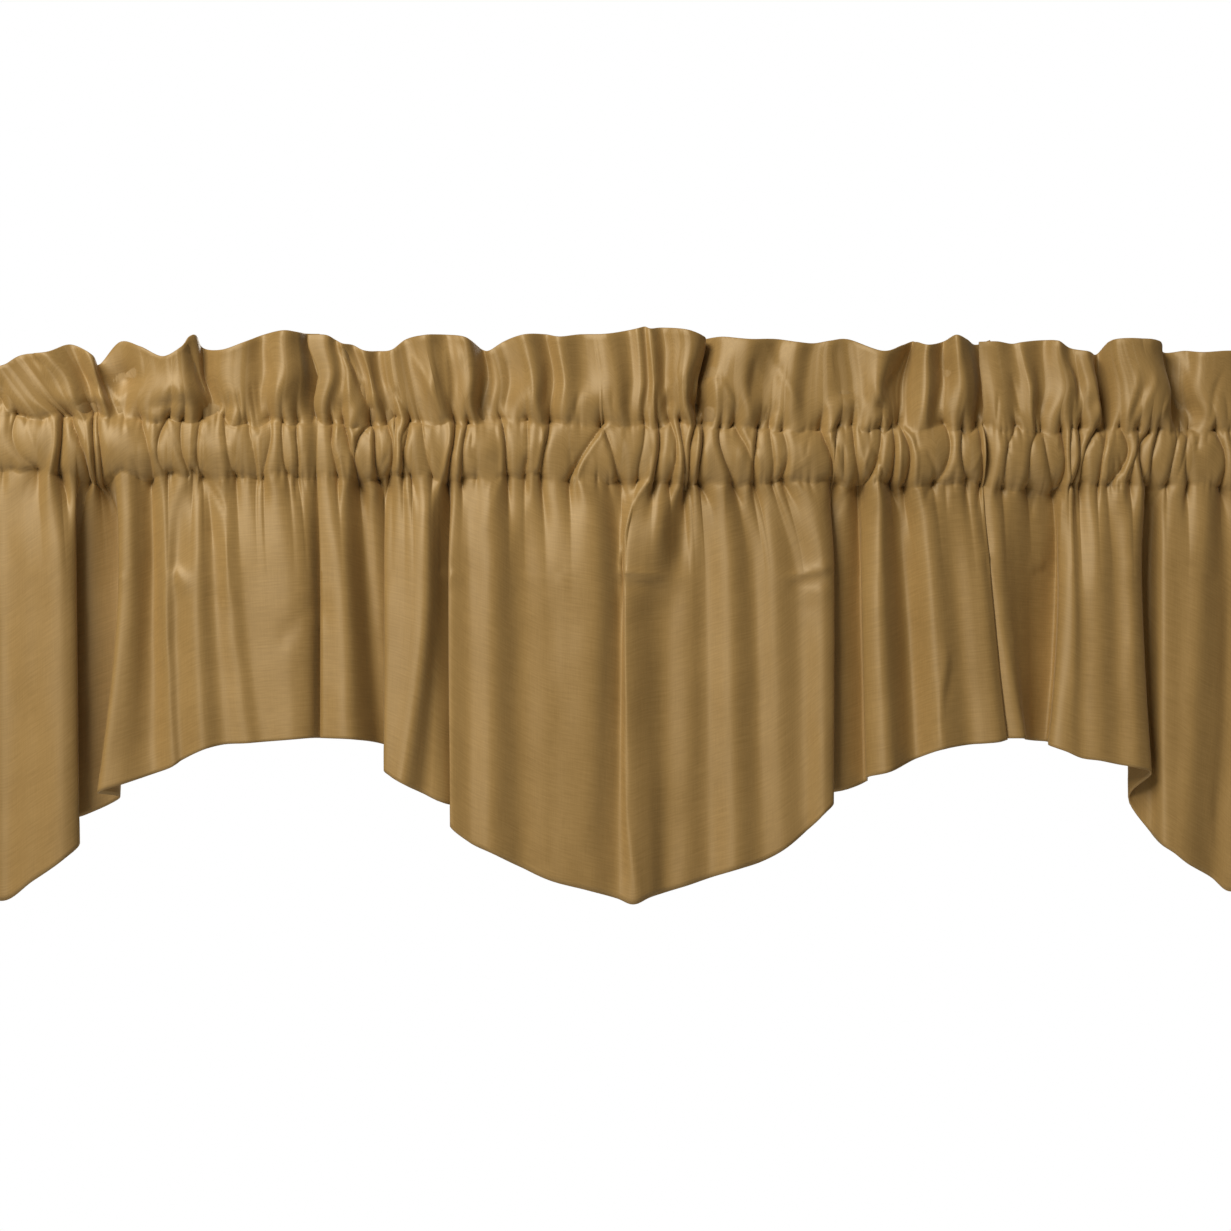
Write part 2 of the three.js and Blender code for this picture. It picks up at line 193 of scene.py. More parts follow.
# Skirt folds, a row for each ridge, trough and turned edge from left to right:
# x at the stitching, at the pressed crease and at the hem, how far it stands out at the last
# two, and how far its hem hangs below the stitching.
ROD, PRESS, HEM, PRESS_OUT, HEM_OUT, DROP = range(6)
LEFT_FOLDS = [
    (-725, -722, -718, 1, 1, 205), (-710, -703, -699, 9, 10, 205), (-692, -688, -682, 2, 2, 208),
    (-672, -669, -654, -8, -12, 213), (-669, -668, -670, 2, 3, 220), (-656, -649, -649, 11, 12, 227),
    (-632, -629, -624, 5, 6, 236), (-612, -607, -602, 9, 10, 244), (-591, -590, -584, 3, 4, 252),
    (-573, -569, -550, -8, -12, 263), (-570, -569, -567, 2, 3, 273), (-553, -549, -544, 12, 12, 285),
    (-530, -526, -521, 7, 7, 301), (-506, -502, -499, 11, 11, 316), (-479, -479, -475, 7, 7, 331),
    (-460, -457, -452, 10, 10, 316), (-440, -432, -428, 13, 13, 299), (-425, -423, -418, 4, 4, 287),
    (-422, -441, -447, -13, -16, 276), (-412, -416, -416, -14, -16, 266),
    (-402, -387, -391, -18, -18, 253), (-392, -390, -404, 5, 6, 248), (-384, -381, -389, 7, 7, 243),
    (-368, -365, -363, -5, 0, 234), (-355, -354, -347, 5, 6, 228), (-343, -346, -340, 3, 4, 223),
    (-329, -329, -323, 10, 10, 215), (-320, -317, -308, 5, 5, 211), (-310, -305, -290, 9, 9, 210),
    (-298, -294, -278, 7, 7, 209), (-262, -256, -253, 12, 12, 207), (-249, -243, -241, 9, 9, 206),
    (-239, -234, -232, -1, -2, 206), (-237.5, -224, -220, -3, -4, 206),
]
CENTRE_FOLDS = [
    (-237.5, -234, -233, 6, 6, 206), (-221, -215, -208, 12, 13, 207), (-205, -199, -188, -6, -8, 210),
    (-193, -188, -176, -5, -10, 214), (-188, -170, -155, -12, -16, 222), (-183, -184, -183, 0, 3, 231),
    (-170, -168, -178, 8, 9, 236), (-150, -150, -168, 15, 14, 242), (-143, -143, -152, 6, 4, 250),
    (-139, -139, -140, 0, 6, 256), (-135, -122, -107, -11, -16, 267), (-129, -133, -131, 7, 8, 275),
    (-117, -117, -116, 8, 9, 288), (-99, -98, -99, 14, 15, 296), (-78, -77, -75, 7, 8, 308),
    (-59, -56, -53, 10, 11, 318), (-19, -16, -23, 15, 12, 326), (-4, 5, 1, 3, 8, 333),
    (20, 7, 13, 10, 15, 337), (29, 21, 26, 9, 11, 332), (41, 42, 39, 1, 1, 329),
    (57, 60, 56, 1, 1, 324), (68, 73, 75, -1, -2, 318), (86, 92, 96, 6, 6, 311),
    (99, 112, 117, 0, 1, 305), (115, 127, 134, 4, 4, 296), (127, 147, 152, 1, 2, 282),
    (155, 168, 167, 7, 8, 267), (173, 177, 175, 2, 2, 258), (179, 166, 153, -9, -13, 254),
    (187, 188, 187, -11, -14, 249), (197, 203, 206, -15, -17, 242), (203, 201, 204, -2, -2, 238),
    (213, 213, 219, 9, 9, 234), (227, 237, 244, -10, -8, 224), (247, 255, 263, 5, 6, 216),
    (268, 276, 287, 1, 2, 212), (283, 289, 300, 5, 5, 211), (292, 298, 310, 6, 6, 210),
    (300.5, 306, 318, 2, 2, 208),
]
RIGHT_FOLDS = [
    (301, 303, 313, -1, -1, 207), (311, 313, 331, 3, 4, 207), (327, 329, 337, -5, -10, 208),
    (346, 350, 346, -14, -21, 209), (361, 366, 358, -16, -20, 210), (367, 365, 354, 0, 1, 213),
    (374, 373, 366, 8, 9, 218), (382, 380, 378, 6, 9, 223), (393, 393, 392, 10, 12, 225),
    (405, 408, 407, 7, 11, 228), (422, 421, 423, 11, 15, 231), (436, 431, 435, 4, 9, 235),
    (441, 423, 424, -14, -14, 256), (447, 444, 441, -11, -10, 284), (454, 450, 446, 3, 3, 294),
    (464, 463, 454, 6, 7, 300), (486, 480, 464, 10, 10, 308), (502, 505, 486, 1, 5, 320),
    (517, 517, 499, 5, 9, 331), (536, 529, 525, 13, 14, 322), (560, 559, 553, 2, 3, 315),
    (582, 576, 575, 13, 14, 304), (604, 603, 605, 3, 4, 292), (608, 597, 582, -10, -14, 282),
    (626, 627, 621, -8, -10, 268), (647, 642, 640, 11, 12, 256), (671, 670, 669, 0, 1, 247),
    (692, 686, 686, 12, 13, 238), (713, 711, 714, 3, 4, 228), (716, 706, 691, -10, -14, 222),
    (735, 735, 733, -6, -8, 216), (755, 748, 744, 9, 10, 211), (772, 767, 763, 4, 4, 209),
]

# Header waves, a row for each: x at the stitching, x of its top, how far the top stands out, and
# the height of the top edge.
LEFT_WAVES = [
    (-724, -722, 8, 74), (-703, -701, 13, 79), (-682, -686, -9, 73), (-660, -653, 13, 79),
    (-636, -634, 7, 76), (-614, -611, 16, 81), (-595, -596, -10, 74), (-569, -568, 13, 79),
    (-545, -545, 4, 76), (-522, -521, 13, 78), (-499, -505, -5, 68), (-468, -488, 9, 60),
    (-447, -479, 11, 61), (-430, -468, 7, 69), (-418, -446, 15, 71), (-408, -430, 2, 79),
    (-401, -412, 9, 70), (-394, -409, -11, 65), (-388, -393, -8, 83), (-376, -376, 6, 78),
    (-360, -356, 15, 69), (-340, -343, 17, 76), (-329, -337, 9, 86), (-323, -333, 3, 88),
    (-318, -329, -9, 80), (-307, -312, 7, 76), (-295, -294, 11, 82), (-279, -280, 3, 89),
    (-262, -263, 15, 91), (-250, -253, 7, 91), (-242, -246, -8, 92), (-239, -237, -15, 93),
]
CENTRE_WAVES = [
    (-237, -245, 8, 89), (-230, -230, 13, 88), (-222, -223, 8, 85), (-213, -218, 12, 82),
    (-199, -210, 3, 82), (-190, -201, 8, 77), (-180, -190, -2, 78), (-170, -179, 7, 78),
    (-153, -168, 3, 87), (-136, -153, 15, 89), (-125, -136, 6, 91), (-113, -121, 15, 88),
    (-103, -106, -8, 81), (-94, -101, -1, 80), (-82, -90, 0, 87), (-66, -74, 13, 91), (-52, -57, 2, 93),
    (-41, -46, 11, 90), (-29, -29, 6, 93), (4, -8, 11, 93), (13, 10, 4, 97), (21, 17, 9, 98),
    (26, 23, 6, 100), (33, 27, 11, 98), (42, 37, 3, 100), (59, 58, 17, 96), (64, 72, 8, 92),
    (69, 70, -13, 93), (80, 86, 6, 93), (103, 107, 15, 90), (119, 132, 4, 92), (139, 147, 9, 89),
    (150, 161, 3, 89), (171, 174, 6, 91), (191, 188, 3, 93), (213, 216, 15, 82), (224, 234, 2, 89),
    (232, 245, -11, 94), (241, 247, 0, 92), (251, 253, 12, 88), (263, 269, -1, 93), (282, 276, 15, 96),
    (289, 286, 7, 94), (295, 298, -11, 92), (300, 311, -17, 97),
]
RIGHT_WAVES = [
    (302, 297, 7, 92), (320, 311, 11, 92), (336, 325, 6, 91), (343, 332, 9, 92), (350, 351, 2, 95),
    (364, 361, 12, 93), (377, 373, 6, 88), (396, 386, 12, 85), (402, 400, -10, 86), (408, 406, 2, 94),
    (419, 410, 15, 95), (436, 427, 20, 95), (455, 447, 11, 94), (463, 457, -11, 88), (477, 473, -6, 89),
    (490, 483, 9, 86), (510, 503, 13, 87), (536, 535, 7, 88), (560, 555, 15, 93), (584, 593, -10, 89),
    (612, 605, 13, 93), (641, 642, 4, 92), (667, 661, 15, 95), (691, 694, -10, 90), (719, 715, 13, 95),
    (749, 745, 7, 93), (771, 766, 9, 94),
]

# Gathers of the pocket, a row for each: x at the upper stitching, halfway and at the lower
# stitching, how deep the gather is, how wide, and whether it leans over to the right (1) or left (-1).
UPPER, MIDDLE, LOWER, DEEP, WIDE, LEAN = range(6)
LEFT_GATHERS = [
    (-702, -697, -702, 3.9, 3, 1), (-681, -676, -677, 5.2, 2.5, 1), (-656, -656, -661, 3.9, 3, 1),
    (-624, -620, -626, 5.2, 2.5, 1), (-614, -608, -608, 3.2, 3, 1), (-589, -585, -589, 5.2, 2.5, 1),
    (-565, -566, -566, 3.9, 3, -1), (-547, -542, -542, 3.2, 3, 1), (-518, -514, -519, 5.2, 2.5, 1),
    (-498, -498, -495, 3.2, 3, -1), (-469, -469, -453, 2.1, 4, -1), (-434, -435, -436, 5.9, 2.4, -1),
    (-429, -421, -415, 5.2, 2.8, 1), (-410, -410, -408, 5.9, 2.2, -1), (-406, -405, -403, 3.9, 2.2, -1),
    (-375, -369, -367, 2.6, 4, 1), (-351, -361, -352, 3, 3, -1), (-341, -342, -332, 2, 3.6, -1),
    (-327, -330, -325, 3.2, 3, -1), (-309, -307, -299, 2.3, 3, -1), (-293, -287, -286, 2.1, 3.4, 1),
    (-274, -275, -280, 1.8, 3.4, 1), (-262, -264, -258, 2, 3.4, -1), (-251, -252, -251, 2.3, 3, -1),
]
CENTRE_GATHERS = [
    (-227, -225, -223, 4.4, 2.4, 1), (-219, -211, -205, 4.5, 2.4, 1), (-194, -206, -205, 4, 2.6, -1),
    (-193, -191, -188, 4.7, 2.2, -1), (-183, -179, -181, 4.2, 2.6, 1), (-174, -176, -177, 3.9, 2.2, -1),
    (-164, -167, -170, 5.9, 2.2, -1), (-163, -170, -163, 3.2, 2.4, -1), (-158, -152, -148, 1.8, 3, 1),
    (-128, -130, -132, 5.9, 2.2, -1), (-118, -121, -123, 4.4, 2.4, -1), (-91, -88, -85, 4.2, 2.2, -1),
    (-71, -72, -74, 1.6, 3, 1), (-53, -56, -60, 4.2, 2.2, -1), (-13, -25, -39, 4.2, 2.4, 1),
    (-10, -4, 5, 4.2, 2.8, -1), (24, 21, 19, 1.6, 3.4, -1), (36, 34, 33, 4.9, 2.2, -1),
    (42, 48, 43, 3.6, 2.8, 1), (53, 54, 57, 5.9, 2.2, -1), (66, 60, 60, 5.2, 2, -1),
    (71, 69, 68, 5.9, 2.2, -1), (85, 86, 96, 2.6, 3, -1), (94, 106, 109, 3.4, 3, 1),
    (115, 113, 113, 4.4, 2.2, -1), (123, 126, 125, 2, 3, 1), (134, 137, 133, 2.9, 3, 1),
    (166, 172, 175, 5.9, 2.8, 1), (181, 178, 179, 2.6, 2.4, -1), (190, 194, 197, 4.2, 2.8, 1),
    (214, 213, 201, 4.2, 2.8, 1), (223, 226, 223, 5.5, 2.4, 1), (229, 238, 235, 5.9, 2.6, 1),
    (267, 271, 258, 3.4, 3, 1), (283, 282, 287, 2.6, 3, -1), (295, 298, 297, 4.5, 2.6, 1),
]
RIGHT_GATHERS = [
    (328, 319, 317, 2, 3.4, -1), (345, 339, 339, 2.1, 3.4, -1), (349, 353, 361, 1.8, 3.4, -1),
    (365, 366, 365, 4.9, 2.4, 1), (374, 372, 372, 2.6, 2, -1), (382, 379, 377, 5.9, 2.2, -1),
    (396, 384, 382, 4.7, 2.4, -1), (402, 398, 394, 2.6, 2.4, 1), (413, 418, 403, 3.4, 3, 1),
    (430, 426, 424, 2.9, 2.6, -1), (439, 430, 437, 5.9, 2.4, -1), (446, 441, 441, 3.9, 2.2, -1),
    (469, 458, 456, 2.1, 3.4, -1), (476, 468, 473, 2.3, 3, -1), (494, 500, 500, 4.4, 2.6, 1),
    (535, 530, 531, 3.9, 3, -1), (561, 560, 562, 5.2, 2.5, -1), (590, 582, 587, 3.9, 3, -1),
    (612, 611, 616, 5.2, 2.5, -1), (629, 623, 623, 3.2, 3, -1), (659, 656, 661, 4.5, 2.5, -1),
    (684, 676, 682, 3.9, 3, -1), (712, 711, 713, 5.2, 2.5, -1), (740, 733, 739, 3.2, 3, -1),
    (756, 752, 756, 3.2, 3, -1),
]

# Creases, a row for each soft ridge (+) or trough (-): x and z of its two ends, how high it is
# and how wide.
CREASES = [
    (-460, 68, -432, 28, 2.5, 2.5), (-449, 54, -435, 31, -1.5, 2.5), (-425, 62, -397, 34, -2.5, 5),
    (-419, 75, -406, 56, 2.5, 3), (-406, 56, -391, 34, 2.5, 3), (-378, 66, -390, 36, 2, 2.5),
    (-367, 30, -345, 35, -2, 3), (-345, 35, -327, 31, -2, 3), (-339, 80, -329, 53, -4, 3),
    (-329, 53, -322, 27, -6, 2.5), (-335, 59, -326, 33, 1.5, 2.5), (-276, 81, -267, 38, 2, 5),
    (-284, 53, -281, 31, -2, 4), (-228, 78, -212, 38, 2, 4), (-217, 78, -210, 54, -4, 2),
    (-210, 54, -195, 32, -5, 2), (-195, 32, -195, 23, -5, 2), (-220, 70, -200, 35, 1.5, 2.5),
    (-176, 47, -164, 26, -3, 2.5), (-208, 54, -177, 46, 1, 2.5), (-161, 71, -141, 35, 2.5, 2.5),
    (-136, 78, -131, 39, 1.5, 2.5), (-128, 80, -117, 33, 2.5, 4), (-110, 60, -106, 25, -5, 3),
    (-89, 72, -87, 32, -2, 4), (-77, 80, -68, 32, 2, 4), (-61, 63, -58, 37, -2, 3.5),
    (-49, 81, -44, 41, 1.8, 3.5), (25, 94, 29, 54, 2.2, 1.5), (29, 54, 32, 31, 2.2, 1.5),
    (37, 38, 43, 52, 1.5, 2.5), (43, 52, 60, 63, 1.5, 2.5), (72, 89, 66, 62, -5, 3.5),
    (66, 62, 62, 40, -6, 3.5), (68, 53, 78, 58, 2.5, 2.5), (78, 58, 89, 52, 2.5, 2.5),
    (89, 52, 96, 34, 2.5, 2.5), (114, 74, 108, 41, -2.5, 4.5), (121, 88, 146, 42, 2, 3.5),
    (169, 43, 184, 51, -1.2, 5), (184, 51, 202, 42, -1.2, 5), (218, 43, 242, 89, -4, 6),
    (242, 89, 230, 35, 2.5, 2.5), (278, 90, 268, 28, 2, 3.5), (324, 62, 332, 36, -2, 3),
    (331, 87, 340, 38, 1.8, 3.5), (344, 71, 347, 33, -2, 3), (369, 71, 376, 37, 2, 3),
    (391, 79, 398, 38, 2, 2.5), (396, 75, 400, 33, -5, 3), (416, 30, 423, 70, 1.5, 2.5),
    (426, 30, 437, 67, 1.5, 2.5), (421, 30, 428, 59, -1.5, 2.5), (453, 56, 446, 30, 1.8, 2.5),
    (455, 71, 472, 38, -5, 6), (471, 87, 487, 31, 2, 3.5), (485, 25, 501, 65, -1.8, 1.6),
    (27, -21, 16, -37, 2, 1.6), (16, -37, 7, -63, 2.2, 1.6), (7, -63, 3, -89, 2.2, 1.6),
    (3, -89, 5, -119, 2.2, 1.6), (5, -119, 6, -183, 2, 1.6), (6, -183, 6, -247, 2, 1.6),
    (6, -247, 8, -302, 2, 1.6), (8, -302, 17, -355, 1.8, 3), (2, -97, 38, -101, 2.6, 2.6),
    (37, -102, 68, -101, 0.6, 3), (5, -104, 38, -107, -3, 3.6), (136, -102, 173, -91, 2.4, 2.6),
    (141, -107, 170, -103, -2.4, 2.6), (139, -113, 170, -110, 2, 2.8), (134, -119, 160, -121, -1, 4),
    (-235, -122, -266, -154, -2, 6), (-237, -130, -250, -140, 1, 4), (-239, -138, -234, -147, 1.4, 3),
    (-345, -97, -338, -115, 2.4, 4), (-346, -104, -335, -105, 1.4, 5),
    (-307, -70, -305, -118, 1.5, 2.5), (-322, -30, -318, -75, -2, 4), (265, -159, 269, -170, 1.6, 3),
    (268, -170, 263, -191, 2, 2.6), (263, -191, 261, -217, 1.6, 2.6), (261, -217, 264, -236, 1.2, 2.6),
    (272, -173, 267, -199, -1.4, 4), (300, -76, 305, -85, 1.6, 3), (305, -85, 309, -111, 1, 3),
    (315, -136, 322, -150, -1, 3), (-139, -98, -130, -104, 1.6, 3), (-131, -99, -123, -104, 0.8, 3),
    (342, -90, 354, -87, 1, 3), (346, -95, 356, -93, -0.8, 3), (-46, -102, -40, -110, 0.8, 4),
    (-93, -100, -45, -105, 0.5, 3.5), (-70, -317, -45, -308, 0.9, 5), (-44, -322, -21, -335, -0.8, 6),
    (-60, -327, -44, -319, -0.7, 5), (-54, -129, -48, -151, -0.6, 5), (59, -310, 67, -334, 0.7, 5),
    (-389, -102, -386, -109, 0.9, 3), (-323, -119, -304, -121, -0.9, 4),
    (-310, -118, -301, -121, 0.9, 4), (416, -150, 429, -152, 0.5, 4), (420, -85, 427, -98, 1, 4),
    (484, -272, 488, -321, 1, 4), (472, -84, 492, -109, -0.9, 7), (-435, -106, -423, -114, 0.6, 4),
    (-465, -122, -435, -118, 0.4, 4),
]

# Swellings (+) and hollows (-): x, z, height, and half its width and height.
SWELLS = [
    (-389, 55, -6, 9, 10), (-192, 39, 3.5, 12, 8), (65, 38, -5, 6, 6), (-415, 29, -3, 9, 5),
    (216, 38, -4, 6, 6), (389, 43, -3, 5, 7), (27, -131, -4, 15, 22), (29, -171, -4, 15, 30),
    (29, -223, -3, 15, 34), (35, -62, 9, 14, 30), (52, -64, -6, 8, 28), (-417, 29, -2.5, 12, 5),
    (-402, 37, 3, 8, 6), (-348, 43, 2.5, 18, 8), (-325, 28, -4, 4, 5), (-304, 34, -2.5, 7, 4),
    (-22, 41, 3.5, 14, 11), (45, 39, -3, 5, 5), (78, 47, 5, 9, 11), (65, 38, -7, 5, 10),
    (95, 36, -2, 4, 7), (114, 56, -3, 7, 12), (184, 40, 3.5, 13, 9), (211, 38, -3, 6, 6),
    (269, 68, -3, 5, 12), (-216, 34, -2.5, 7, 6), (-251, 62, 2.5, 9, 14), (-274, 49, 2, 7, 14),
    (-446, 59, 1.5, 6, 12), (478, 41, -3, 6, 8), (398, 51, -4, 3.5, 14), (377, 59, -2.5, 4, 12),
    (339, 54, 2, 7, 14), (352, 42, -1.5, 4, 6), (-77, 44, 2, 6, 12), (-118, 52, 2, 5, 14),
    (-147, 51, 2, 5, 12), (-367, -5, 1.5, 10, 8), (-309, -3, 1.5, 9, 9), (-101, 0, 1.6, 9, 10),
    (-69, 0, 1.2, 9, 10), (19, 1, 1.2, 9, 10), (100, -2, 1.6, 6, 10), (153, 3, 1.5, 10, 10),
    (256, 5, 1.6, 9, 10), (314, 3, 1, 9, 10), (401, 1, 1.2, 6, 9), (486, 6, 1.4, 6, 10),
]


def eased(t):
    """From 0 to 1, slow at both ends."""
    return t * t * (3 - 2 * t)


def through(rows, at):
    """Smooth centripetal curve through the rows, read at places counted in rows."""
    rows = np.asarray(rows, float)
    ends = np.vstack([2 * rows[0] - rows[1], rows, 2 * rows[-1] - rows[-2]])
    k = np.clip(np.floor(at).astype(int), 0, len(rows) - 2)
    w = (at - k)[:, None]
    p0, p1, p2, p3 = ends[k], ends[k + 1], ends[k + 2], ends[k + 3]

    def gap(a, b):
        return np.maximum(np.sum((b - a) ** 2, axis=1) ** 0.25, 1e-4)[:, None]

    g0, g1, g2 = gap(p0, p1), gap(p1, p2), gap(p2, p3)
    t1 = ((p1 - p0) / g0 - (p2 - p0) / (g0 + g1) + (p2 - p1) / g1) * g1
    t2 = ((p2 - p1) / g1 - (p3 - p1) / (g1 + g2) + (p3 - p2) / g2) * g1
    return p1 + t1 * w + (3 * (p2 - p1) - 2 * t1 - t2) * w**2 + (2 * (p1 - p2) + t1 + t2) * w**3


def downwards(depth, drop, stitch, press, hem):
    """A fold's x or stand-out at a depth below the stitching, smooth over the pressed crease."""
    upper = (press - stitch) / PRESS_DROP
    lower = (hem - press) / (drop - PRESS_DROP)
    same = upper * lower > 0
    middle = np.where(same, 2 * upper * lower / np.where(same, upper + lower, 1), 0)
    above = depth <= PRESS_DROP
    length = np.where(above, PRESS_DROP, drop - PRESS_DROP)
    start = np.where(above, stitch, press)
    end = np.where(above, press, hem)
    first = np.where(above, 1.5 * upper - 0.5 * middle, middle)
    last = np.where(above, middle, 1.5 * lower - 0.5 * middle)
    t = np.where(above, depth, depth - PRESS_DROP) / length
    bend = first * t * (1 - t) ** 2 - last * t * t * (1 - t)
    return start + (end - start) * eased(t) + bend * length


def unevenness(seed, across, down, cell_across, cell_down):
    """Soft random swells between -1 and 1, in cells of that size."""
    rng = np.random.default_rng(seed)
    u = (across - across.min()) / cell_across
    v = (down - down.min()) / cell_down
    grid = rng.uniform(-1, 1, (int(v.max()) + 3, int(u.max()) + 3))
    i, j = np.floor(v).astype(int), np.floor(u).astype(int)
    a, b = eased(v - i), eased(u - j)
    low = grid[i, j] * (1 - b) + grid[i, j + 1] * b
    high = grid[i + 1, j] * (1 - b) + grid[i + 1, j + 1] * b
    return low * (1 - a) + high * a


def dip(share):
    """Profile of one gather: a narrow valley with soft shoulders."""
    return 1 / np.cosh(np.clip(GATHER_STEEP * share, -40, 40)) ** 2


def sharp(share):
    """Profile of one crease: a sharp edge, a little rounded, between long slopes."""
    return np.exp(CREASE_ROUND - np.hypot(share, CREASE_ROUND))


def closer_at_ends(rows):
    """Places from 1 down to 0, closer together near both."""
    t = np.linspace(1, 0, rows + 1)[:, None]
    return EVEN_SHARE * t + (1 - EVEN_SHARE) * eased(t)


def stitching(folds, at):
    """Where the folds are at the stitching: x and stand-out."""
    return through(folds[:, [ROD, PRESS_OUT]] * [1, STITCH_SHARE], at)


def column_places(folds, gathers):
    """Where a valance's columns run, in fold rows, spread evenly over its gathered cloth."""
    last = len(folds) - 1
    fine = np.linspace(0, last, last * FINE_STEPS + 1)
    rod = stitching(folds, fine)[:, 0]
    run = np.zeros(len(fine) - 1)
    for level in (UPPER, MIDDLE, LOWER):
        depth = sum(row[DEEP] * dip((rod - row[level]) / row[WIDE]) for row in gathers)
        run += np.hypot(np.diff(rod), np.diff(depth))
    for columns in ([PRESS, PRESS_OUT], [HEM, HEM_OUT]):
        run += SKIRT_WEIGHT * np.hypot(*np.diff(through(folds[:, columns], fine), axis=0).T)
    run = np.r_[0, np.cumsum(run)]
    return np.interp(np.linspace(0, run[-1], COLUMNS), run, fine)


def small_gathers(seed, start, end):
    """The many small gathers that a row of stitching draws in: place, depth, width."""
    rng = np.random.default_rng(seed)
    places = np.cumsum(rng.uniform(*SMALL_ROOM, SMALL_MOST)) + start
    places = places[places < end]
    depths = rng.uniform(*SMALL_DEPTH, len(places))
    return np.c_[places, depths, rng.uniform(*SMALL_WIDTH, len(places))]


def short_creases(seed, start, end):
    """Short slanting creases that run out from both rows of stitching, like the rows of CREASES."""
    rng = np.random.default_rng(seed)
    rows = []
    for place in np.arange(start + SHORT_MARGIN, end - SHORT_MARGIN, SHORT_STEP):
        x = place + rng.uniform(*SHORT_SHIFT)
        seam = POCKET_HALF * rng.choice([-1, 1])
        length = rng.uniform(*SHORT_LENGTH)
        slant = rng.normal(0, SHORT_SLANT)
        way = rng.choice([-1, 1])
        z = seam + way * rng.uniform(*SHORT_START)
        high = rng.uniform(*SHORT_HEIGHT)
        wide = rng.uniform(*SHORT_WIDTH)
        rows.append((x, z, x + slant * length, z + way * length, high, wide))
    return rows


def creased(rows, x, z):
    """How far the creases lift or press the cloth at these places."""
    lift = np.zeros(x.shape)
    for x0, z0, x1, z1, high, wide in rows:
        length = math.hypot(x1 - x0, z1 - z0)
        along = ((x - x0) * (x1 - x0) + (z - z0) * (z1 - z0)) / length
        aside = ((x - x0) * (z1 - z0) - (z - z0) * (x1 - x0)) / length
        beyond = np.maximum(np.abs(along - length / 2) - length * CREASE_FULL, 0)
        lift += high * sharp(aside / wide) * np.exp(-((beyond / (length * CREASE_FADE + 1)) ** 2))
    return lift


def swollen(rows, x, z):
    """How far the swellings and hollows lift or press the cloth at these places."""
    lift = np.zeros(x.shape)
    for x0, z0, high, wide, tall in rows:
        lift += high * np.exp(-(((x - x0) / wide) ** 2) - ((z - z0) / tall) ** 2)
    return lift


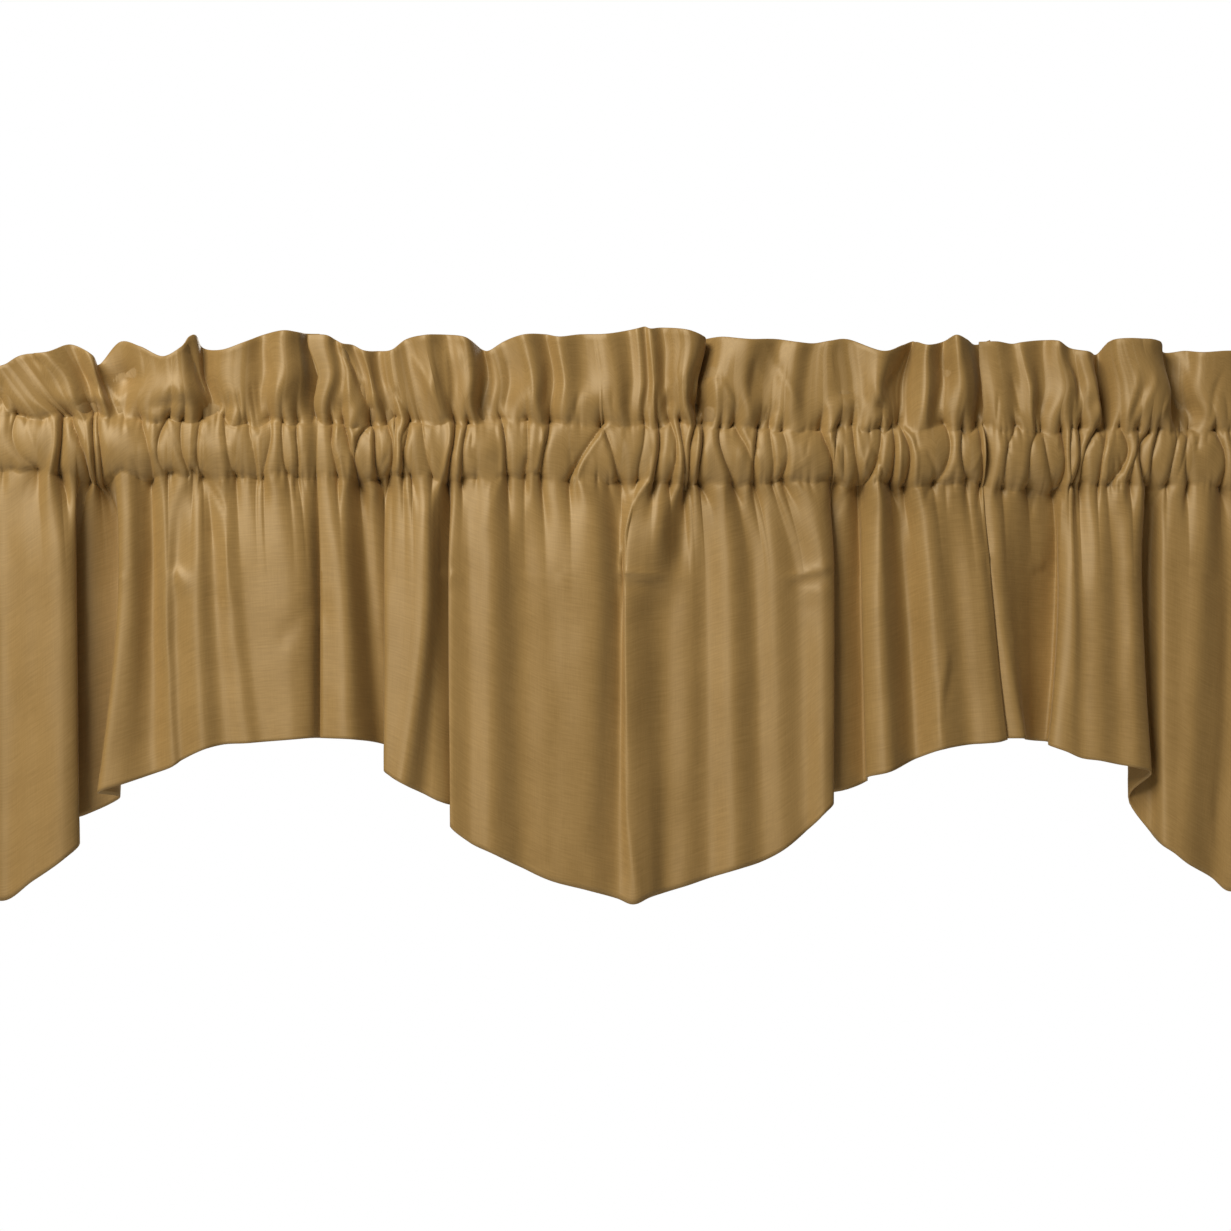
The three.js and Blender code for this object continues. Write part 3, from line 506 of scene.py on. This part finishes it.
class Valance:
    """Works out where one valance's cloth is, a strip at a time. Each strip is x, out and z."""

    def __init__(self, folds, waves, gathers, taper, seed):
        folds, waves = np.array(folds, float), np.array(waves, float)
        self.gathers, self.seed = np.array(gathers, float), seed
        at = column_places(folds, self.gathers)
        self.rod, self.lower_seam = stitching(folds, at).T
        self.press_x, self.press_out = through(folds[:, [PRESS, PRESS_OUT]], at).T
        self.hem_x, self.hem_out, self.drop = through(folds[:, [HEM, HEM_OUT, DROP]], at).T
        wave = np.interp(self.rod, waves[:, 0], np.arange(len(waves)))
        self.top_x, self.top_out, self.top_z = through(waves[:, 1:], wave).T
        start, end = self.rod[0], self.rod[-1]
        self.upper = small_gathers(seed, start, end)
        self.lower = small_gathers(seed + 1, start, end)
        self.creases = CREASES + short_creases(seed + 2, start, end)
        self.vary_gathers(seed + 7)
        run = np.hypot(np.diff(self.hem_x), np.diff(self.hem_out)) + np.diff(self.rod)
        run = np.r_[0, np.cumsum(run)]
        self.across = run / run[-1] * FLAT_SIZE[0]
        left_end = np.exp(-(((self.rod - start) / END_REACH) ** 2))
        right_end = np.exp(-(((end - self.rod) / END_REACH) ** 2))
        self.ends = taper[0] * left_end + taper[1] * right_end
        self.run_stitching()

    def vary_gathers(self, seed):
        """Gives each gather its own wobble, strength, reach and slant."""
        rng = np.random.default_rng(seed)
        count = len(self.gathers)
        self.phase = rng.uniform(0, 2 * np.pi, count)
        self.strength = rng.uniform(LEAST_STRENGTH, MOST_STRENGTH, (count, 3))
        self.reach = rng.uniform(*GATHER_REACH, count)
        self.slant = rng.normal(0, GATHER_SLANT, count)

    def run_stitching(self):
        """How far both rows of stitching lie above their line, and how far the upper one stands out."""
        self.upper_lift = sum(self.wander(row) for row in UPPER_WANDER) - UPPER_DROP * self.top_out
        self.lower_lift = sum(self.wander(row) for row in LOWER_WANDER) + LOWER_RISE * self.press_out
        for lift, level in ((self.upper_lift, 1.0), (self.lower_lift, 0.0)):
            swelling, room = self.between(np.array([[level]]))
            lift -= SCALLOP * np.minimum(room[0] / SCALLOP_ROOM, 1) * swelling[0]
        self.upper_seam = SEAM_OUT + SEAM_FOLLOW * self.top_out + self.wander(SEAM_WANDER)
        self.upper_seam -= SEAM_END * self.ends

    def wander(self, row):
        """Soft random wandering along the rod."""
        across = self.rod[None]
        return row.height * unevenness(self.seed * 10 + row.seed, across, 0 * across, row.length, 1)[0]

    def uneven(self, row, down):
        """Soft random unevenness of the cloth, at places given by how far down they are."""
        across = np.broadcast_to(self.across, down.shape)
        return row.height * unevenness(self.seed + row.seed, across, down, row.across, row.down)

    def relief(self, x, z):
        """How far creases, swellings and hollows lift or press the cloth at these places."""
        return creased(self.creases, x, z) + swollen(SWELLS, x, z)

    def gather_lines(self, level):
        """Where each gather runs at a level between the lower stitching (0) and the upper (1)."""
        upper, middle, lower = self.gathers[:, [UPPER, MIDDLE, LOWER]].T
        bow = 4 * level * (1 - level) * (middle - (upper + lower) / 2)
        wobble = WOBBLE * np.sin(WOBBLE_TURN * level + self.phase)
        return lower + (upper - lower) * level + bow + wobble

    def between(self, level):
        """How far the cloth swells between its gathers, from -0.5 to 0.5, and in what room."""
        swelling = np.zeros((len(level), len(self.rod)))
        room = np.zeros(swelling.shape)
        for row, places in enumerate(np.sort(self.gather_lines(level), axis=1)):
            places = np.r_[self.rod[0] - 1, places, self.rod[-1] + 1]
            k = np.clip(np.searchsorted(places, self.rod) - 1, 0, len(places) - 2)
            room[row] = np.maximum(places[k + 1] - places[k], 1)
            share = np.clip((self.rod - places[k]) / room[row], 0, 1)
            swelling[row] = 4 * share * (1 - share) - 0.5
        return swelling, room

    def drawn(self, level, away, draw):
        """How far the gathers draw the cloth back and along the rod, at a level between the
        lower stitching (0) and the upper (1), or at a distance away from either."""
        level, away = np.reshape(level, (-1, 1)), np.reshape(away, (-1, 1))
        left = np.exp(-away / draw.fade)
        seam = np.exp(-np.minimum(level, 1 - level) * 2 * POCKET_HALF / SPREAD_REACH)
        swelling, room = self.between(level)
        back = -np.minimum(PILLOW_SHARE * room, PILLOW) * draw.pillow * swelling * left
        along = np.zeros(back.shape)
        lines = self.gather_lines(level) + self.slant * away * left
        spread = GATHER_WIDTH + GATHER_SPREAD * seam + away / draw.spread
        for k, (deep, wide, lean) in enumerate(self.gathers[:, [DEEP, WIDE, LEAN]]):
            share = (self.rod - lines[:, [k]]) / (wide * spread)
            strength = np.interp(level, (0, 0.5, 1), self.strength[k]) * left ** (1 / self.reach[k])
            lip = dip((share * lean - LIP_PLACE) / LIP_WIDTH)
            back += deep * strength * (GATHER_DEPTH * sharp(GATHER_STEEP * share) - LIP_HEIGHT * lip)
            along += GATHER_LEAN * lean * strength * dip(share)
            along -= PINCH * strength * share * wide * np.exp(-share * share)
        return back, along

    def puckers(self, rows, away, pucker):
        """Depth of the small gathers at a distance from their row of stitching."""
        away = np.reshape(away, (-1, 1))
        left = pucker.share * np.exp(-away / pucker.fade)
        depth = np.zeros((len(away), len(self.rod)))
        for place, deep, wide in rows:
            depth += deep * left * dip((self.rod - place) / (wide * (1 + away / pucker.spread)))
        return depth

    def skirt(self, depth, behind=0.0):
        """The skirt at depths below the stitching, a row for each."""
        x = downwards(depth, self.drop, self.rod, self.press_x, self.hem_x)
        out = downwards(depth, self.drop, self.lower_seam, self.press_out, self.hem_out)
        z = -POCKET_HALF - depth
        away = depth.mean(axis=1)
        back, along = self.drawn(np.zeros(len(away)), away, SKIRT_DRAW)
        out = out - back - self.puckers(self.lower, away, SKIRT_PUCKER)
        settle = 1 - np.exp(-depth / SKIRT_SETTLE)
        out = out + settle * (self.uneven(SKIRT_SWAY, depth) + self.uneven(SKIRT_RUMPLE, depth))
        out = out + self.relief(x, z) + SEWN_GAP - behind
        x = x + along * np.exp(-depth / SKIRT_ALONG)
        z = z + self.lower_lift * np.exp(-depth / SEAM_FADE)
        return np.stack([x, out, z], axis=2)

    def pocket_wall(self, level, side):
        """The pocket's front (side 1) or back (side -1) wall, from the lower stitching up."""
        level = level[:, None]
        height = 2 * POCKET_HALF * level
        headroom = 2 * POCKET_HALF - height
        bulge = np.sin(np.pi * level) ** POCKET_ROUND
        back, along = self.drawn(level, 0 * level, POCKET_DRAW)
        drawn = self.puckers(self.lower, height, POCKET_PUCKER)
        drawn = drawn + self.puckers(self.upper, headroom, POCKET_PUCKER)
        x = self.rod + 0 * drawn
        z = height - POCKET_HALF + 0 * drawn
        seam = self.lower_seam + (self.upper_seam - self.lower_seam) * level
        if side > 0:
            full = POCKET_FRONT * (1 + self.wander(POCKET_WANDER)) * (1 - self.ends)
            out = SEWN_GAP + seam + (full - seam) * bulge - drawn - back
            out = out + bulge * self.relief(x, z)
            x = x + along
        else:
            full = POCKET_BACK * (1 - self.ends)
            out = seam - SEWN_GAP - (full + seam) * bulge - drawn - back * (1 - bulge)
            x = x + along * (1 - bulge)
        z = z + self.lower_lift * np.exp(-height / SEAM_FADE)
        z = z + self.upper_lift * np.exp(-headroom / SEAM_FADE)
        return np.stack([x, out, z], axis=2)

    def header(self, level, side):
        """The header's front (side 1) or back (side -1) layer, from stitching to top."""
        level = level[:, None]
        rise = self.top_z - POCKET_HALF
        away = level * rise.mean()
        back, along = self.drawn(np.ones(len(away)), away, HEADER_DRAW)
        x = self.rod + (self.top_x - self.rod) * level**HEADER_LEAN + 0 * back
        z = POCKET_HALF + rise * level + 0 * back
        swing = HEADER_SWING * (1 + (1 - level) * self.uneven(HEADER_DEPTH, z))
        puff = HEADER_PUFF * (1 + self.wander(PUFF_WANDER)) * (1 - self.ends)
        puff = puff * np.clip(PUFF_LEAST + self.top_out / PUFF_OUT, 0, PUFF_MOST)
        out = self.top_out * swing * level**HEADER_FLARE
        out = out + puff * level / PUFF_SHARE * np.exp(1 - level / PUFF_SHARE)
        out = out + self.upper_seam * (1 - level) ** SEAM_POWER
        out = out - back - self.puckers(self.upper, away, HEADER_PUCKER)
        out = out + level * self.uneven(HEADER_RUMPLE, z)
        out = out + self.relief(x, z) + side * SEWN_GAP
        bend = 4 * level * (1 - level) * self.uneven(HEADER_BEND, z)
        x = x + bend + along * np.exp(-away / HEADER_ALONG)
        z = z + self.upper_lift * np.exp(-away / SEAM_FADE)
        return np.stack([x, out, z], axis=2)

    def cloth(self):
        """The middle of the cloth from hem to header, over the top and down to its sewn end."""
        lower = PRESS_DROP + closer_at_ends(LOWER_ROWS)[:-1] * (self.drop - PRESS_DROP)
        upper = PRESS_DROP * closer_at_ends(UPPER_ROWS) + 0 * self.rod
        front = self.header(np.linspace(0, 1, HEADER_ROWS + 1) ** ROW_POWER, 1)
        back = self.header(np.linspace(1, 0, HEADER_BACK_ROWS + 1), -1)
        turn = np.linspace(0, np.pi, TOP_ROWS + 2)[1:-1, None]
        top = np.repeat((front[-1:] + back[:1]) / 2, TOP_ROWS, axis=0)
        top[:, :, 1] += SEWN_GAP * np.cos(turn)
        top[:, :, 2] += SEWN_GAP * np.sin(turn)
        tail = np.array([[0.0], [TAIL]]) + 0 * self.rod
        strips = [
            self.skirt(np.vstack([lower, upper])),
            self.pocket_wall(np.linspace(0, 1, POCKET_ROWS + 2)[1:-1], 1),
            front,
            top,
            back,
            self.pocket_wall(np.linspace(1, 0, POCKET_BACK_ROWS + 2)[1:-1], -1),
            self.skirt(tail, 2 * SEWN_GAP),
        ]
        return np.vstack(strips) * [1, -1, 1]


def facing(points):
    """Unit normals of a grid of points, towards the right side of the cloth."""
    normal = np.cross(np.gradient(points, axis=1), np.gradient(points, axis=0))
    return normal / np.maximum(np.linalg.norm(normal, axis=2, keepdims=True), 1e-9)


def quads(grid):
    """Four-cornered faces of a grid of corners."""
    corners = [grid[:-1, :-1], grid[:-1, 1:], grid[1:, 1:], grid[1:, :-1]]
    return np.stack(corners, axis=2).reshape(-1, 4).tolist()


def side_faces(index):
    """Faces of one side of the cloth: every other column up to the pressed crease, then all."""
    low, high = index[LOWER_ROWS], index[LOWER_ROWS + 1]
    between = np.c_[low[:-2:2], low[2::2], high[2::2], high[1::2], high[:-2:2]]
    return quads(index[: LOWER_ROWS + 1, ::2]) + between.tolist() + quads(index[LOWER_ROWS + 1 :])


def edge_faces(index, under):
    """Faces along the hem, the sewn end and both sides of the cloth."""
    hem, hem_under = index[0, ::2], under[0, ::2]
    edges = [
        np.c_[hem_under[:-1], hem_under[1:], hem[1:], hem[:-1]],
        np.c_[index[-1, :-1], index[-1, 1:], under[-1, 1:], under[-1, :-1]],
        np.c_[under[:-1, 0], index[:-1, 0], index[1:, 0], under[1:, 0]],
        np.c_[index[:-1, -1], under[:-1, -1], under[1:, -1], index[1:, -1]],
    ]
    return np.vstack(edges).tolist()


def closed_sheet(name, points, thick, uv, turned_rows, materials):
    """A closed thin sheet round a grid of points, in metres, with its right and wrong side."""
    rows, columns = points.shape[:2]
    half = facing(points) * thick[:, :, None] / 2
    corners = np.vstack([(points + half).reshape(-1, 3), (points - half).reshape(-1, 3)])
    index = np.arange(rows * columns).reshape(rows, columns)
    under = index + rows * columns
    right = side_faces(index)
    wrong = [face[::-1] for face in side_faces(under)]
    faces = right + wrong + edge_faces(index, under)
    used = np.zeros(len(corners), bool)
    used[np.concatenate([np.ravel(face) for face in faces])] = True
    number = np.cumsum(used) - 1
    mesh = bpy.data.meshes.new(name)
    mesh.from_pydata((corners[used] * MM).tolist(), [], [number[face].tolist() for face in faces])
    slots = np.zeros(len(faces), int)
    turned_faces = turned_rows * (columns // 2)
    slots[len(right) + turned_faces : 2 * len(right)] = 1
    mesh.polygons.foreach_set("material_index", slots)
    mesh.polygons.foreach_set("use_smooth", np.ones(len(faces), bool))
    corner_of = np.zeros(len(mesh.loops), int)
    mesh.loops.foreach_get("vertex_index", corner_of)
    spots = np.vstack([uv.reshape(-1, 2), uv.reshape(-1, 2)])[used] * MM
    mesh.uv_layers.new(name="cloth").data.foreach_set("uv", spots[corner_of].ravel())
    for material in materials:
        mesh.materials.append(material)
    mesh.update()
    piece = bpy.data.objects.new(name, mesh)
    bpy.context.scene.collection.objects.link(piece)
    return piece


def hung_sheet(name, valance, materials):
    """One valance's satin, thicker at its turned-up hem."""
    points = valance.cloth()
    step = np.linalg.norm(np.diff(points, axis=0), axis=2)
    down = np.vstack([np.zeros(points.shape[1]), np.cumsum(step, axis=0)])
    turn = np.clip((HEM_TURN - down) / HEM_STEP + 0.5, 0, 1)
    thick = CLOTH + (HEM_THICK - CLOTH) * eased(turn)
    uv = np.stack([np.broadcast_to(valance.across, down.shape), down], axis=2)
    turned_rows = int(np.sum(np.median(down, axis=1) < HEM_TURN))
    return closed_sheet(name, points, thick, uv, turned_rows, materials)


def satin_threads():
    """Node group: slubs and weave of the satin, from its flat place in metres."""
    group = bpy.data.node_groups.new("satin threads", "ShaderNodeTree")
    group.interface.new_socket("Place", in_out="INPUT", socket_type="NodeSocketVector")
    group.interface.new_socket("Tone", in_out="OUTPUT", socket_type="NodeSocketFloat")
    group.interface.new_socket("Relief", in_out="OUTPUT", socket_type="NodeSocketFloat")
    nodes, links = group.nodes, group.links
    given = nodes.new("NodeGroupInput")
    result = nodes.new("NodeGroupOutput")

    def noise(row):
        stretch = nodes.new("ShaderNodeVectorMath")
        stretch.operation = "MULTIPLY"
        stretch.inputs[1].default_value = row.repeats
        links.new(given.outputs["Place"], stretch.inputs[0])
        texture = nodes.new("ShaderNodeTexNoise")
        texture.label = row.label
        texture.inputs["Scale"].default_value = 1
        texture.inputs["Detail"].default_value = row.detail
        links.new(stretch.outputs["Vector"], texture.inputs["Vector"])
        return texture.outputs["Fac"]

    def weigh(a, b, share):
        mix = nodes.new("ShaderNodeMix")
        mix.inputs["Factor"].default_value = share
        links.new(a, mix.inputs[2])
        links.new(b, mix.inputs[3])
        return mix.outputs[0]

    slubs, warp, dye = noise(SLUBS), noise(WARP), noise(DYE)
    tone = weigh(weigh(slubs, warp, WARP_IN_TONE), dye, DYE_IN_TONE)
    links.new(tone, result.inputs["Tone"])
    links.new(weigh(slubs, warp, WARP_IN_RELIEF), result.inputs["Relief"])
    return group


def satin(finish, threads):
    """Gold satin: its colour between two tones, the threads' relief and a soft sheen."""
    material = bpy.data.materials.new(finish.name)
    material.use_nodes = True
    nodes, links = material.node_tree.nodes, material.node_tree.links
    shader = nodes["Principled BSDF"]
    shader.inputs["Roughness"].default_value = finish.roughness
    shader.inputs["Sheen Weight"].default_value = finish.sheen
    shader.inputs["Sheen Roughness"].default_value = 0.35
    shader.inputs["Sheen Tint"].default_value = (1.0, 0.84, 0.56, 1)
    shader.inputs["Specular IOR Level"].default_value = 0.75
    shader.inputs["Anisotropic"].default_value = 0.6
    shader.inputs["Anisotropic Rotation"].default_value = 0.25
    shader.inputs["Specular Tint"].default_value = (1.0, 0.86, 0.62, 1)
    place = nodes.new("ShaderNodeUVMap")
    place.uv_map = "cloth"
    grain = nodes.new("ShaderNodeTangent")
    grain.direction_type = "UV_MAP"
    grain.uv_map = "cloth"
    weave = nodes.new("ShaderNodeGroup")
    weave.node_tree = threads
    tone = nodes.new("ShaderNodeValToRGB")
    for end, position, colour in zip(tone.color_ramp.elements, TONE_SPAN, (finish.dark, finish.light)):
        end.position = position
        end.color = (*colour, 1)
    bump = nodes.new("ShaderNodeBump")
    bump.inputs["Strength"].default_value = 0.2
    bump.inputs["Distance"].default_value = 0.0003
    links.new(place.outputs["UV"], weave.inputs["Place"])
    links.new(weave.outputs["Tone"], tone.inputs["Fac"])
    links.new(tone.outputs["Color"], shader.inputs["Base Color"])
    links.new(weave.outputs["Relief"], bump.inputs["Height"])
    links.new(bump.outputs["Normal"], shader.inputs["Normal"])
    links.new(grain.outputs["Tangent"], shader.inputs["Tangent"])
    return material


def pale_floor():
    """A pale round floor, well below the hems."""
    mesh = bpy.data.meshes.new("floor")
    turns = [2 * math.pi * side / FLOOR_SIDES for side in range(FLOOR_SIDES)]
    rim = [(FLOOR_RADIUS * math.cos(a), FLOOR_RADIUS * math.sin(a), FLOOR_LEVEL) for a in turns]
    mesh.from_pydata(rim, [], [tuple(range(FLOOR_SIDES))])
    pale = bpy.data.materials.new("pale floor")
    pale.use_nodes = True
    shader = pale.node_tree.nodes["Principled BSDF"]
    shader.inputs["Base Color"].default_value = (0.85, 0.85, 0.84, 1)
    shader.inputs["Roughness"].default_value = 0.8
    mesh.materials.append(pale)
    floor = bpy.data.objects.new("floor", mesh)
    bpy.context.scene.collection.objects.link(floor)


def white_surroundings():
    """White surroundings, softer as light than as seen."""
    world = bpy.data.worlds.new("studio")
    bpy.context.scene.world = world
    world.use_nodes = True
    nodes, links = world.node_tree.nodes, world.node_tree.links
    seen = nodes["Background"]
    seen.inputs["Color"].default_value = (1, 1, 1, 1)
    soft = nodes.new("ShaderNodeBackground")
    soft.inputs["Color"].default_value = (1.0, 0.91, 0.76, 1)
    soft.inputs["Strength"].default_value = 0.095
    ray = nodes.new("ShaderNodeLightPath")
    either = nodes.new("ShaderNodeMixShader")
    links.new(ray.outputs["Is Camera Ray"], either.inputs["Fac"])
    links.new(soft.outputs["Background"], either.inputs[1])
    links.new(seen.outputs["Background"], either.inputs[2])
    links.new(either.outputs["Shader"], nodes["World Output"].inputs["Surface"])


def area_light(name, place, size, power):
    """A soft square light at a place, turned towards the valances."""
    data = bpy.data.lights.new(name, "AREA")
    data.shape = "SQUARE"
    data.size = size
    data.energy = power
    data.color = LIGHT_COLOUR
    light = bpy.data.objects.new(name, data)
    light.location = place
    aim = np.array(LIT_SPOT) - np.array(place)
    flat = math.hypot(aim[0], aim[1])
    light.rotation_euler = (math.pi / 2 + math.atan2(aim[2], flat), 0, math.atan2(-aim[0], aim[1]))
    bpy.context.scene.collection.objects.link(light)


def front_camera():
    """The camera, a little left of the middle and below the rod line."""
    data = bpy.data.cameras.new("camera")
    data.sensor_width = CAMERA_SENSOR
    data.lens = CAMERA_LENS
    camera = bpy.data.objects.new("camera", data)
    camera.location = CAMERA_PLACE
    camera.rotation_euler = (math.radians(CAMERA_TILT), 0, math.radians(CAMERA_TURN))
    bpy.context.scene.collection.objects.link(camera)
    bpy.context.scene.camera = camera


# Each valance's node, its tables, how flat its left and right sides are drawn, and its seed.
VALANCES = [
    ("valance_left", LEFT_FOLDS, LEFT_WAVES, LEFT_GATHERS, (0.4, 0.5), 11),
    ("valance_centre", CENTRE_FOLDS, CENTRE_WAVES, CENTRE_GATHERS, (0.2, 0.0), 23),
    ("valance_right", RIGHT_FOLDS, RIGHT_WAVES, RIGHT_GATHERS, (0.7, 0.4), 37),
]
threads = satin_threads()
both_sides = [satin(RIGHT_SIDE, threads), satin(WRONG_SIDE, threads)]
for node, folds, waves, gathers, taper, seed in VALANCES:
    valance = Valance(folds, waves, gathers, taper, seed)
    piece = hung_sheet(node + "_satin", valance, both_sides)
    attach(piece, "root")
    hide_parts(node)

bpy.context.scene.view_settings.view_transform = "Standard"
pale_floor()
white_surroundings()
area_light("key", place=(-1.4, -1.75, 1.55), size=1.4, power=80)
area_light("back fill", place=(0.4, 1.9, 1.0), size=1.6, power=30)
front_camera()
